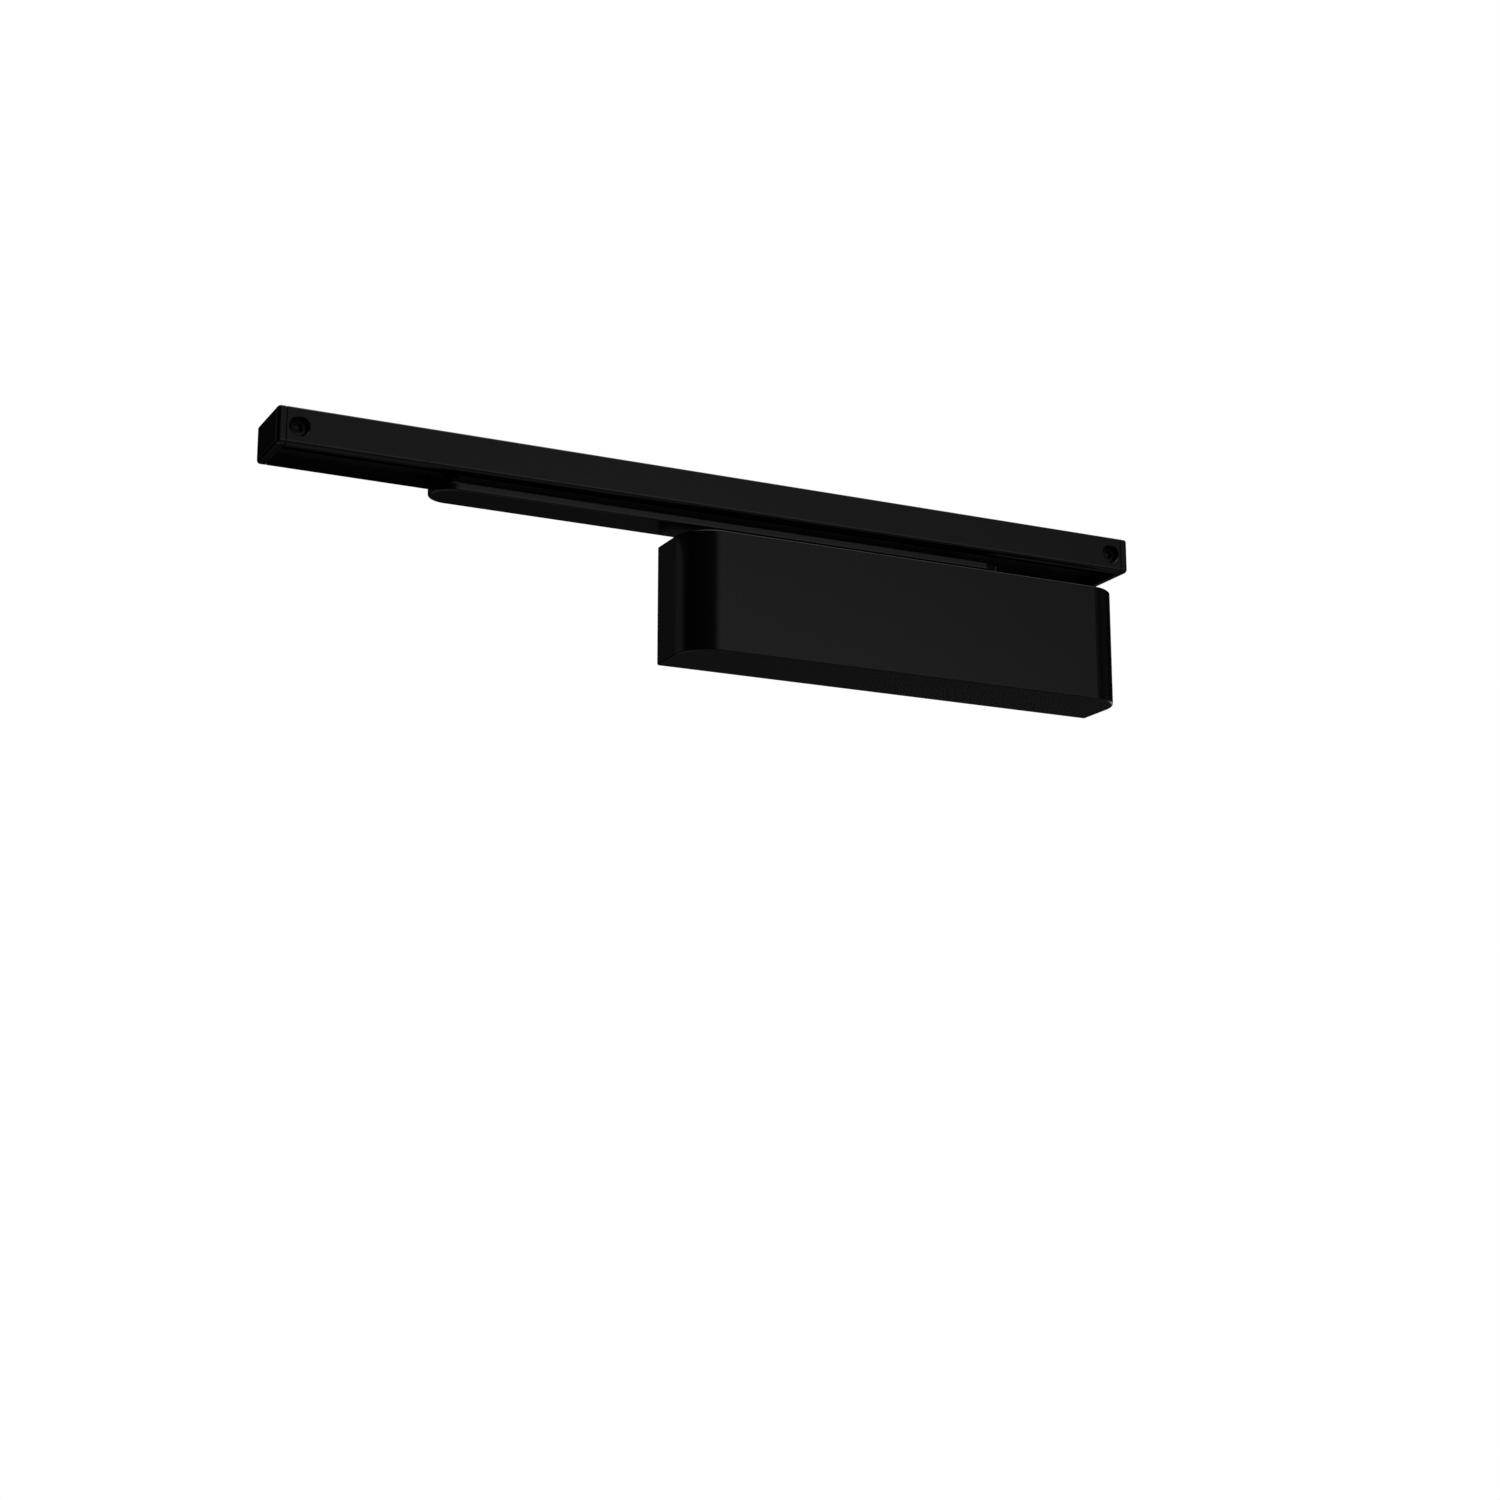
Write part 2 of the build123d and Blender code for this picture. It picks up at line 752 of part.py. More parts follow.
def make_oil_filler_plug():
    bottom = bore_r + filler_clear
    with BuildPart() as plug:
        with BuildSketch(Plane(origin=(filler_x, -axis_depth, bottom))):
            Circle(filler_r)
        extrude(amount=housing_top - bottom)
        with BuildSketch(Plane(origin=(filler_x, -axis_depth, housing_top))):
            Circle(filler_head_r)
        extrude(amount=filler_head_h)
        with BuildSketch(Plane(origin=(filler_x, -axis_depth, housing_top))):
            RegularPolygon(filler_key / 2, 6, major_radius=False)
        extrude(amount=filler_head_h, mode=Mode.SUBTRACT)
    return plug.part


# ---------------------------------------------------------------- slide arm group


def make_slide_arm():
    middle_x = (spindle_x + pin_x) / 2
    square = spindle_square + 2 * arm_fit
    with BuildPart() as arm:
        with BuildSketch(Plane(origin=(middle_x, -axis_depth, arm_bottom))):
            SlotCenterToCenter(arm_centres, arm_width)
        extrude(amount=arm_thickness)
        fillet(arm.faces().filter_by(Axis.Z).edges(), arm_edge_r)
        with BuildSketch(spindle_plane(arm_bottom)):
            Rectangle(square, square)
        extrude(amount=arm_thickness, mode=Mode.SUBTRACT)
        with BuildSketch(pin_plane(arm_bottom)):
            Circle(pin_r)
        extrude(amount=arm_thickness, mode=Mode.SUBTRACT)
        with BuildSketch(pin_plane(arm_bottom)):
            Circle(pin_head_r + arm_fit)
        extrude(amount=pin_head_h, mode=Mode.SUBTRACT)
    return arm.part


def make_arm_screw():
    with BuildPart() as screw:
        with BuildSketch(spindle_plane(arm_top - arm_screw_length)):
            Circle(arm_screw_r)
        extrude(amount=arm_screw_length)
        with BuildSketch(spindle_plane(arm_top)):
            Circle(arm_screw_head_r)
        extrude(amount=arm_screw_head_h)
        fillet(screw.faces().sort_by(Axis.Z)[-1].edges(), arm_screw_dome_r)
        with BuildSketch(spindle_plane(arm_top + arm_screw_head_h - arm_screw_key_depth)):
            RegularPolygon(arm_screw_key / 2, 6, major_radius=False)
        extrude(amount=arm_screw_key_depth, mode=Mode.SUBTRACT)
    return screw.part


def make_slide_pin():
    journal_r = pin_r - running_gap
    groove_z = block_top - block_counterbore_depth + bush_flange_h + running_gap
    with BuildPart() as pin:
        with BuildSketch(pin_plane(arm_bottom)):
            Circle(pin_head_r)
        extrude(amount=pin_head_h)
        with BuildSketch(pin_plane(arm_bottom)):
            Circle(pin_r)
        extrude(amount=arm_thickness)
        with BuildSketch(pin_plane(arm_top)):
            Circle(pin_collar_r)
        extrude(amount=pin_collar_h)
        with BuildSketch(pin_plane(arm_top)):
            Circle(journal_r)
        extrude(amount=pin_top - arm_top)
        with BuildSketch(pin_plane(groove_z)):
            Circle(journal_r)
            Circle(journal_r - pin_groove_depth, mode=Mode.SUBTRACT)
        extrude(amount=pin_groove, mode=Mode.SUBTRACT)
    return pin.part


def make_pin_clip():
    groove_z = block_top - block_counterbore_depth + bush_flange_h + running_gap
    inner_r = pin_r - running_gap - pin_groove_depth
    with BuildPart() as clip:
        with BuildSketch(pin_plane(groove_z)):
            Circle(pin_clip_r)
            Circle(inner_r, mode=Mode.SUBTRACT)
            with Locations((-pin_clip_r / 2, 0)):
                Rectangle(pin_clip_r, inner_r, mode=Mode.SUBTRACT)
        extrude(amount=pin_groove - running_gap)
    return clip.part


def make_slide_block():
    with BuildPart() as block:
        with BuildSketch(pin_plane(block_bottom)):
            RectangleRounded(block_length, block_width, block_corner_r)
        extrude(amount=block_height)
        with BuildSketch(pin_plane(block_bottom)):
            Circle(bush_r)
        extrude(amount=block_height, mode=Mode.SUBTRACT)
        with BuildSketch(pin_plane(block_top - block_counterbore_depth)):
            Circle(bush_flange_r + block_counterbore_gap)
        extrude(amount=block_counterbore_depth, mode=Mode.SUBTRACT)
    return block.part


def make_slide_bush():
    shoulder = block_top - block_counterbore_depth
    with BuildPart() as bush:
        with BuildSketch(pin_plane(block_bottom)):
            Circle(bush_r)
        extrude(amount=shoulder - block_bottom)
        with BuildSketch(pin_plane(shoulder)):
            Circle(bush_flange_r)
        extrude(amount=bush_flange_h)
        with BuildSketch(pin_plane(block_bottom)):
            Circle(pin_r + running_gap / 2)
        extrude(amount=block_height, mode=Mode.SUBTRACT)
    return bush.part


# ---------------------------------------------------------------- rail group


def rail_plane(x):
    """Plane across the rail at mid height: local x is +Y, local y is +Z, normal +X."""
    return Plane(origin=(x, 0, (rail_bottom + rail_top) / 2), x_dir=(0, 1, 0), z_dir=(1, 0, 0))


def round_rail_edges(piece):
    """Round the four long outer edges of a rail piece, most at the front below."""
    fillet(piece.edges().filter_by(Axis.X).group_by(Axis.Z)[-1], rail_top_edge_r)
    fillet(piece.edges().filter_by(Axis.X).group_by(Axis.Z)[0].sort_by(Axis.Y)[0], rail_bottom_edge_r)
    fillet(piece.edges().filter_by(Axis.X).group_by(Axis.Z)[0].sort_by(Axis.Y)[-1], rail_back_edge_r)


def make_rail_profile():
    start = rail_left + rail_cap_room
    mouth_width = rail_depth - rail_front_lip - rail_back_lip
    mouth_y = (rail_front_lip - rail_depth - rail_back_lip) / 2
    rail_middle_z = (rail_bottom + rail_top) / 2
    with BuildPart() as profile:
        with BuildSketch(rail_plane(start)):
            with Locations((-rail_depth / 2, 0)):
                Rectangle(rail_depth, rail_height)
        extrude(amount=profile_length)
        round_rail_edges(profile)
        with BuildSketch(rail_plane(start)):
            with Locations((-axis_depth, (channel_bottom + channel_top) / 2 - rail_middle_z)):
                Rectangle(channel_width, channel_height)
            with Locations((-axis_depth, mouth_top + rail_ledge / 2 - rail_middle_z)):
                Rectangle(rail_slot, rail_ledge)
            with Locations((mouth_y, (rail_bottom + mouth_top) / 2 - rail_middle_z)):
                Rectangle(mouth_width, rail_mouth_height)
        extrude(amount=profile_length, mode=Mode.SUBTRACT)

        # Screw holes at both ends: through the back wall, and a wide one for the head in front
        with BuildSketch(Plane.XZ):
            with Locations((rail_middle, rail_middle_z)):
                with GridLocations(rail_length - 2 * rail_screw_inset, 0, 2, 1):
                    Circle(rail_screw_r + rail_screw_hole_gap)
        extrude(amount=axis_depth, mode=Mode.SUBTRACT)
        with BuildSketch(Plane.XZ.offset(screw_head_seat)):
            with Locations((rail_middle, rail_middle_z)):
                with GridLocations(rail_length - 2 * rail_screw_inset, 0, 2, 1):
                    Circle(rail_screw_recess_r)
        extrude(amount=rail_depth - screw_head_seat, mode=Mode.SUBTRACT)
        front_face = profile.faces().sort_by(Axis.Y)[0]
        chamfer(front_face.edges().filter_by(GeomType.CIRCLE), rail_screw_recess_rim)
    return profile.part


def make_rail_end_cap(side):
    """End cap: a flange with the rail's outline, a neck, and a spigot held in the channel by the screw."""
    flange_start = rail_right - rail_cap_flange if side > 0 else rail_left
    neck_start = rail_right - rail_cap_room if side > 0 else rail_left + rail_cap_flange
    spigot_start = neck_start - rail_plug_length if side > 0 else rail_left + rail_cap_room
    outer_face = rail_right if side > 0 else rail_left
    screw_x = outer_face - side * rail_screw_inset
    middle_z = (channel_bottom + channel_top) / 2 - (rail_bottom + rail_top) / 2
    with BuildPart() as cap:
        with BuildSketch(rail_plane(flange_start)):
            with Locations((-rail_depth / 2, 0)):
                Rectangle(rail_depth, rail_height)
        extrude(amount=rail_cap_flange)
        round_rail_edges(cap)
        end_face = cap.faces().sort_by(Axis.X)[-1 if side > 0 else 0]
        rim = end_face.edges().filter_by(lambda edge: edge.center().Y < -pick_gap)
        fillet(rim, rail_cap_rim_r)
        with BuildSketch(rail_plane(neck_start)):
            with Locations((-rail_depth / 2, 0)):
                Rectangle(rail_depth - 2 * rail_cap_neck_inset, rail_height - 2 * rail_cap_neck_inset)
        extrude(amount=rail_cap_gap)
        with BuildSketch(rail_plane(spigot_start)):
            with Locations((-axis_depth, middle_z)):
                Rectangle(channel_width, channel_height)
        extrude(amount=rail_plug_length)
        with BuildSketch(Plane.XZ):
            with Locations((screw_x, (rail_bottom + rail_top) / 2)):
                Circle(rail_screw_r + rail_screw_hole_gap)
        extrude(amount=rail_depth, mode=Mode.SUBTRACT)
        with BuildSketch(Plane.XZ.offset(screw_head_seat)):
            with Locations((screw_x, (rail_bottom + rail_top) / 2)):
                Circle(rail_screw_recess_r)
        extrude(amount=rail_depth - screw_head_seat, mode=Mode.SUBTRACT)
    return cap.part


def make_rail_screws():
    """The two fixing screws of the rail; their tips stand out of the back, into the door frame."""
    ends = (rail_left + rail_screw_inset, rail_right - rail_screw_inset)
    places = [(x, (rail_bottom + rail_top) / 2) for x in ends]
    with BuildPart() as screws:
        with BuildSketch(Plane.XZ.offset(-rail_screw_beyond)):
            with Locations(places):
                Circle(rail_screw_r)
        extrude(amount=rail_screw_beyond)
        chamfer(screws.faces().sort_by(Axis.Y)[-2:].edges(), rail_screw_point, rail_screw_point_rim)
        with BuildSketch(Plane.XZ):
            with Locations(places):
                Circle(rail_screw_neck_r)
        extrude(amount=screw_head_seat)
        with BuildSketch(Plane.XZ.offset(screw_head_seat)):
            with Locations(places):
                Circle(rail_screw_head_r)
        extrude(amount=rail_screw_head_h)
        with BuildSketch(Plane.XZ.offset(screw_head_seat + rail_screw_head_h - rail_screw_key_depth)):
            with Locations(places):
                RegularPolygon(rail_screw_key / 2, 6, major_radius=False)
        extrude(amount=rail_screw_key_depth, mode=Mode.SUBTRACT)
    return screws.part


# ---------------------------------------------------------------- build and write every piece

save(make_backplate(), "backplate")
save(make_housing(), "housing")
save(make_housing_screws(), "housing_screws")
save(make_cover(), "cover")
for side, name in ((-1, "left"), (1, "right")):
    save(make_cover_clip(side), f"cover_clip_{name}")

for side, name in ((-1, "spring"), (1, "damping")):
    save(make_end_plug(side), f"end_plug_{name}")
    save(make_end_plug_seal(side), f"end_plug_seal_{name}")
save(make_tension_adjuster(), "tension_adjuster")
save(make_adjuster_seal(), "adjuster_seal")
save(make_spring_seat(), "spring_seat")
save(make_closing_spring(), "closing_spring")

save(make_piston(), "piston")
save(make_piston_seal(), "piston_seal")
save(make_check_valve_ball(), "check_valve_ball")
save(make_check_valve_plug(), "check_valve_plug")

save(make_pinion_shaft(), "pinion_shaft")
for side, name in ((1, "top"), (-1, "bottom")):
    save(make_bearing(side), f"bearing_{name}")
    save(make_shaft_seal(side), f"shaft_seal_{name}")
save(make_bearing_cap_top(), "bearing_cap_top")
save(make_bearing_cap_bottom(), "bearing_cap_bottom")

for name, (depth, height) in valve_places.items():
    save(make_valve(depth, height), name)
    save(make_valve_seal(depth, height), f"{name}_seal")
save(make_oil_filler_plug(), "oil_filler_plug")

save(make_slide_arm(), "slide_arm")
save(make_arm_screw(), "arm_screw")
save(make_slide_pin(), "slide_pin")
save(make_pin_clip(), "pin_clip")
save(make_slide_block(), "slide_block")
save(make_slide_bush(), "slide_bush")

save(make_rail_profile(), "rail_profile")
for side, name in ((-1, "left"), (1, "right")):
    save(make_rail_end_cap(side), f"rail_end_cap_{name}")
save(make_rail_screws(), "rail_screws")
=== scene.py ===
"""Slide-arm door closer: finishes, fine pieces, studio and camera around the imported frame."""

import json
from math import cos, pi, radians, sin

import bmesh
import bpy
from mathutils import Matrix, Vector


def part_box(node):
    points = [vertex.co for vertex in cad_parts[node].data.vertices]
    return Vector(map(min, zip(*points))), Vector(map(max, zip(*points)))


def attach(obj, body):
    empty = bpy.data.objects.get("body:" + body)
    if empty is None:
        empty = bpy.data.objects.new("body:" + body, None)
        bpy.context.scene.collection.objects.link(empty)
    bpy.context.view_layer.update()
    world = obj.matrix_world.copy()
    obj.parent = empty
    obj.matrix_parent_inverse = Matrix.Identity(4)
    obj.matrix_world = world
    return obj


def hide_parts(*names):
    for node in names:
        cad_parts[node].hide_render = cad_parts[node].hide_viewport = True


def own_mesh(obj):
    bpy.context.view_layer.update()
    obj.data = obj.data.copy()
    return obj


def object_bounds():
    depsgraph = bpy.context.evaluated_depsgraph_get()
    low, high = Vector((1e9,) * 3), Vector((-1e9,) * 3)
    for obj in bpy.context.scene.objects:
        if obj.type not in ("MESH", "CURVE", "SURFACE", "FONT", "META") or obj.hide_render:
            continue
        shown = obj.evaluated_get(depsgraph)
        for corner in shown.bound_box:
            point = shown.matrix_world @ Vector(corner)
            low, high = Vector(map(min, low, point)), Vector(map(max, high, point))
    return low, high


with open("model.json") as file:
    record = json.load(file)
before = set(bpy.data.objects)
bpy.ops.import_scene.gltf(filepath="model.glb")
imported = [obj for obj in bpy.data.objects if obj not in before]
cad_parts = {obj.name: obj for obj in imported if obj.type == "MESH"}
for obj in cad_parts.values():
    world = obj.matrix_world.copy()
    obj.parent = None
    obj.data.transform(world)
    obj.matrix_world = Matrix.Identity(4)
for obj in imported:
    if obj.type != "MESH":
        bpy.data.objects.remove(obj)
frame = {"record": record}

CAD_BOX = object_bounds()
MM = 0.001


# ---------------------------------------------------------------- finishes

def add_node(tree, kind, values=None, **settings):
    """One node with its settings, and its inputs set by name or number."""
    node = tree.nodes.new(kind)
    for key, value in settings.items():
        setattr(node, key, value)
    for key, value in (values or {}).items():
        node.inputs[key].default_value = value
    return node


def grey(level, warm=0.0):
    """A grey colour, a little warm or cool."""
    return (level * (1 + warm), level, level * (1 - warm), 1.0)


def make_finish(name, dark, light, rough, patch, grain, grain_height, rough_spread, metallic=0.0,
                specular=0.5, second_grain=None, stretch=(1, 1, 1), bump_distance=0.02):
    """A procedural finish on Object coordinates.

    dark and light are the two ends of the colour drift, patch is how fine that drift is, grain is how
    fine the surface texture is, and stretch draws both out along an axis, as brushing and rolling do.
    """
    material = bpy.data.materials.new(name)
    material.use_nodes = True
    tree = material.node_tree
    tree.nodes.clear()
    link = tree.links.new
    out = add_node(tree, "ShaderNodeOutputMaterial")
    shader = add_node(tree, "ShaderNodeBsdfPrincipled", {
        "Metallic": metallic, "Specular IOR Level": specular})
    link(shader.outputs["BSDF"], out.inputs["Surface"])

    place = add_node(tree, "ShaderNodeTexCoord")
    turn = add_node(tree, "ShaderNodeMapping", {"Scale": stretch})
    link(place.outputs["Object"], turn.inputs["Vector"])

    drift = add_node(tree, "ShaderNodeTexNoise", {"Scale": patch, "Detail": 4.0, "Roughness": 0.55})
    link(turn.outputs["Vector"], drift.inputs["Vector"])
    colour = add_node(tree, "ShaderNodeValToRGB")
    colour.color_ramp.elements[0].position = 0.32
    colour.color_ramp.elements[0].color = dark
    colour.color_ramp.elements[1].position = 0.68
    colour.color_ramp.elements[1].color = light
    link(drift.outputs["Fac"], colour.inputs["Fac"])
    link(colour.outputs["Color"], shader.inputs["Base Color"])

    texture = add_node(tree, "ShaderNodeTexNoise", {"Scale": grain, "Detail": 3.0, "Roughness": 0.6})
    link(turn.outputs["Vector"], texture.inputs["Vector"])
    height = texture.outputs["Fac"]
    if second_grain:
        coarse = add_node(tree, "ShaderNodeTexNoise", {"Scale": second_grain, "Detail": 2.0})
        link(turn.outputs["Vector"], coarse.inputs["Vector"])
        both = add_node(tree, "ShaderNodeMath", operation="ADD")
        link(height, both.inputs[0])
        link(coarse.outputs["Fac"], both.inputs[1])
        height = both.outputs[0]
    bump = add_node(tree, "ShaderNodeBump", {"Strength": grain_height, "Distance": bump_distance * MM})
    link(height, bump.inputs["Height"])
    link(bump.outputs["Normal"], shader.inputs["Normal"])

    rub = add_node(tree, "ShaderNodeMapRange", {
        "From Min": 0.3, "From Max": 0.7, "To Min": rough - rough_spread, "To Max": rough + rough_spread})
    link(texture.outputs["Fac"], rub.inputs["Value"])
    link(rub.outputs["Result"], shader.inputs["Roughness"])
    return material


FINISHES = {
    "cover_paint": make_finish(
        "satin_black_powder_coat", grey(0.0030), grey(0.0042), 0.26, specular=0.5,
        patch=30, grain=1500, second_grain=420, grain_height=0.5, rough_spread=0.04),
    "arm_paint": make_finish(
        "satin_black_stove_paint", grey(0.0034), grey(0.0046), 0.24, specular=0.58,
        patch=45, grain=2600, second_grain=700, grain_height=0.45, rough_spread=0.05),
    "rail_paint": make_finish(
        "black_coated_extrusion", grey(0.0030), grey(0.0042), 0.27, specular=0.5,
        patch=40, grain=1800, second_grain=500, grain_height=0.5, stretch=(0.35, 1, 1), rough_spread=0.04),
    "cap_plastic": make_finish(
        "moulded_black_nylon", grey(0.0026), grey(0.0038), 0.22, specular=0.5,
        patch=60, grain=3400, grain_height=0.6, rough_spread=0.04),
    "black_screw": make_finish(
        "black_oxide_steel", grey(0.010, 0.02), grey(0.020, 0.03), 0.34, metallic=0.6, specular=0.5,
        patch=300, grain=5200, grain_height=0.5, rough_spread=0.08),
    "zinc_plate": make_finish(
        "zinc_plated_sheet", (0.50, 0.52, 0.54, 1), (0.64, 0.65, 0.66, 1), 0.34, metallic=1.0,
        patch=55, grain=1600, grain_height=0.35, stretch=(0.08, 1, 1), rough_spread=0.10),
    "cast_aluminium": make_finish(
        "die_cast_aluminium", (0.44, 0.45, 0.46, 1), (0.56, 0.57, 0.58, 1), 0.46, metallic=1.0,
        patch=90, grain=1300, second_grain=350, grain_height=0.9, rough_spread=0.10, bump_distance=0.05),
    "steel": make_finish(
        "machined_steel", (0.40, 0.40, 0.41, 1), (0.54, 0.54, 0.55, 1), 0.28, metallic=1.0,
        patch=120, grain=3000, grain_height=0.3, stretch=(1, 1, 0.25), rough_spread=0.08),
    "valve_brass": make_finish(
        "turned_brass", (0.60, 0.42, 0.16, 1), (0.74, 0.55, 0.24, 1), 0.27, metallic=1.0,
        patch=160, grain=3600, grain_height=0.3, rough_spread=0.08),
    "bronze": make_finish(
        "sintered_bronze", (0.42, 0.25, 0.12, 1), (0.56, 0.36, 0.19, 1), 0.48, metallic=1.0,
        patch=500, grain=4200, grain_height=0.8, rough_spread=0.10),
    "block_plastic": make_finish(
        "black_acetal", grey(0.010), grey(0.014), 0.42, specular=0.4,
        patch=70, grain=2600, grain_height=0.5, rough_spread=0.05),
    "seal_rubber": make_finish(
        "nitrile_rubber", grey(0.010), grey(0.018), 0.62, specular=0.35,
        patch=120, grain=3000, grain_height=0.7, rough_spread=0.08),
}

slot_of = {part["node"]: part["material_slot"] for part in frame["record"]["subparts"]}
for node_name, slot in slot_of.items():
    for holder in bpy.data.objects[node_name].material_slots:
        holder.material = FINISHES[slot]


# ---------------------------------------------------------------- mesh helpers

def put_piece(name, mesh, body, slot, *replaced):
    """Put a finished mesh in the scene, in its finish, on its body, in place of CAD nodes."""
    piece = bpy.data.objects.new(name, mesh)
    bpy.context.scene.collection.objects.link(piece)
    mesh.materials.clear()
    mesh.materials.append(FINISHES[slot])
    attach(piece, body)
    if replaced:
        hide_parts(*replaced)
    return piece


def turned_mesh(name, rings, sides=72):
    """A closed body turned about local Z from its lowest ring to its highest.

    Each ring is (height, radius, shape); shape "round" takes the radius as it is, and "hex" takes it as
    half the width across flats.
    """
    shell = bmesh.new()
    loops = []
    for height, radius, shape in rings:
        loop = []
        for step in range(sides):
            angle = 2 * pi * step / sides
            reach = radius
            if shape == "hex":
                reach = radius / cos((angle + pi / 6) % (pi / 3) - pi / 6)
            loop.append(shell.verts.new((reach * cos(angle), reach * sin(angle), height)))
        loops.append(loop)
    for low, high in zip(loops, loops[1:]):
        for step in range(sides):
            after = (step + 1) % sides
            shell.faces.new((low[step], low[after], high[after], high[step]))
    for loop, height in ((loops[0], rings[0][0]), (loops[-1], rings[-1][0])):
        centre = shell.verts.new((0, 0, height))
        for step in range(sides):
            shell.faces.new((loop[step], loop[(step + 1) % sides], centre))
    bmesh.ops.recalc_face_normals(shell, faces=shell.faces)
    mesh = bpy.data.meshes.new(name)
    shell.to_mesh(mesh)
    shell.free()
    soften(mesh)
    return mesh


def soften(mesh, angle=35):
    """Smooth shading that keeps edges over an angle sharp."""
    for face in mesh.polygons:
        face.use_smooth = True
    mesh.set_sharp_from_angle(angle=radians(angle))


# ---------------------------------------------------------------- Geometry Nodes

def new_tree(name, sizes):
    """A node group that takes a mesh, a material and named sizes."""
    tree = bpy.data.node_groups.new(name, "GeometryNodeTree")
    face = tree.interface
    face.new_socket("Geometry", in_out="INPUT", socket_type="NodeSocketGeometry")
    face.new_socket("Material", in_out="INPUT", socket_type="NodeSocketMaterial")
    for label, kind in sizes:
        face.new_socket(label, in_out="INPUT", socket_type=f"NodeSocket{kind}")
    face.new_socket("Geometry", in_out="OUTPUT", socket_type="NodeSocketGeometry")
    return tree, tree.nodes.new("NodeGroupInput"), tree.nodes.new("NodeGroupOutput")


def grown_mesh(name, base, tree, material, sizes):
    """Run a node group on a mesh and give back the plain mesh that comes out."""
    holder = bpy.data.objects.new(name + "_base", base)
    bpy.context.scene.collection.objects.link(holder)
    modifier = holder.modifiers.new(name, "NODES")
    modifier.node_group = tree
    sockets = {item.name: item.identifier for item in tree.interface.items_tree
               if item.item_type == "SOCKET" and item.in_out == "INPUT"}
    modifier[sockets["Material"]] = material
    for label, value in sizes.items():
        modifier[sockets[label]] = value
    holder.update_tag()
    ready = holder.evaluated_get(bpy.context.evaluated_depsgraph_get())
    mesh = bpy.data.meshes.new_from_object(ready)
    mesh.name = name
    holder.modifiers.clear()
    bpy.data.objects.remove(holder)
    return mesh


def finish_tree(tree, source, group_in, group_out):
    """End a tree as the export needs it: real geometry in one material."""
    link = tree.links.new
    real = add_node(tree, "GeometryNodeRealizeInstances")
    finished = add_node(tree, "GeometryNodeSetMaterial")
    link(source, real.inputs["Geometry"])
    link(real.outputs["Geometry"], finished.inputs["Geometry"])
    link(group_in.outputs["Material"], finished.inputs["Material"])
    link(finished.outputs["Geometry"], group_out.inputs["Geometry"])


def build_screw_row_tree():
    """Threaded screws in a grid: the mesh given is one screw along Z, and a ridge winds up its shank."""
    tree, group_in, group_out = new_tree("screw_row", [
        ("Thread Radius", "Float"), ("Thread Depth", "Float"), ("Thread Start", "Float"),
        ("Thread Length", "Float"), ("Turns", "Float"), ("Columns", "Int"), ("Rows", "Int"),
        ("Width", "Float"), ("Height", "Float"), ("Centre", "Vector"), ("Rotation", "Vector")])
    link = tree.links.new
    root = add_node(tree, "ShaderNodeMath", operation="SUBTRACT")
    link(group_in.outputs["Thread Radius"], root.inputs[0])
    link(group_in.outputs["Thread Depth"], root.inputs[1])
    spiral = add_node(tree, "GeometryNodeCurveSpiral", {"Resolution": 28})
    link(group_in.outputs["Turns"], spiral.inputs["Rotations"])
    link(root.outputs[0], spiral.inputs["Start Radius"])
    link(root.outputs[0], spiral.inputs["End Radius"])
    link(group_in.outputs["Thread Length"], spiral.inputs["Height"])
    upright = add_node(tree, "GeometryNodeSetCurveNormal", mode="Z_UP")
    link(spiral.outputs["Curve"], upright.inputs["Curve"])
    flank = add_node(tree, "GeometryNodeCurvePrimitiveCircle", {"Resolution": 4}, mode="RADIUS")
    link(group_in.outputs["Thread Depth"], flank.inputs["Radius"])
    ridge = add_node(tree, "GeometryNodeCurveToMesh", {"Fill Caps": True})
    link(upright.outputs["Curve"], ridge.inputs["Curve"])
    link(flank.outputs["Curve"], ridge.inputs["Profile Curve"])
    lift = add_node(tree, "ShaderNodeCombineXYZ")
    link(group_in.outputs["Thread Start"], lift.inputs["Z"])
    raised = add_node(tree, "GeometryNodeTransform")
    link(ridge.outputs["Mesh"], raised.inputs["Geometry"])
    link(lift.outputs["Vector"], raised.inputs["Translation"])
    whole = add_node(tree, "GeometryNodeJoinGeometry")
    link(raised.outputs["Geometry"], whole.inputs[0])
    link(group_in.outputs["Geometry"], whole.inputs[0])

    grid = add_node(tree, "GeometryNodeMeshGrid")
    link(group_in.outputs["Width"], grid.inputs["Size X"])
    link(group_in.outputs["Height"], grid.inputs["Size Y"])
    link(group_in.outputs["Columns"], grid.inputs["Vertices X"])
    link(group_in.outputs["Rows"], grid.inputs["Vertices Y"])
    spread = add_node(tree, "GeometryNodeInstanceOnPoints")
    link(grid.outputs["Mesh"], spread.inputs["Points"])
    link(whole.outputs[0], spread.inputs["Instance"])
    stand = add_node(tree, "GeometryNodeTransform")
    link(spread.outputs["Instances"], stand.inputs["Geometry"])
    link(group_in.outputs["Centre"], stand.inputs["Translation"])
    link(group_in.outputs["Rotation"], stand.inputs["Rotation"])
    finish_tree(tree, stand.outputs["Geometry"], group_in, group_out)
    return tree


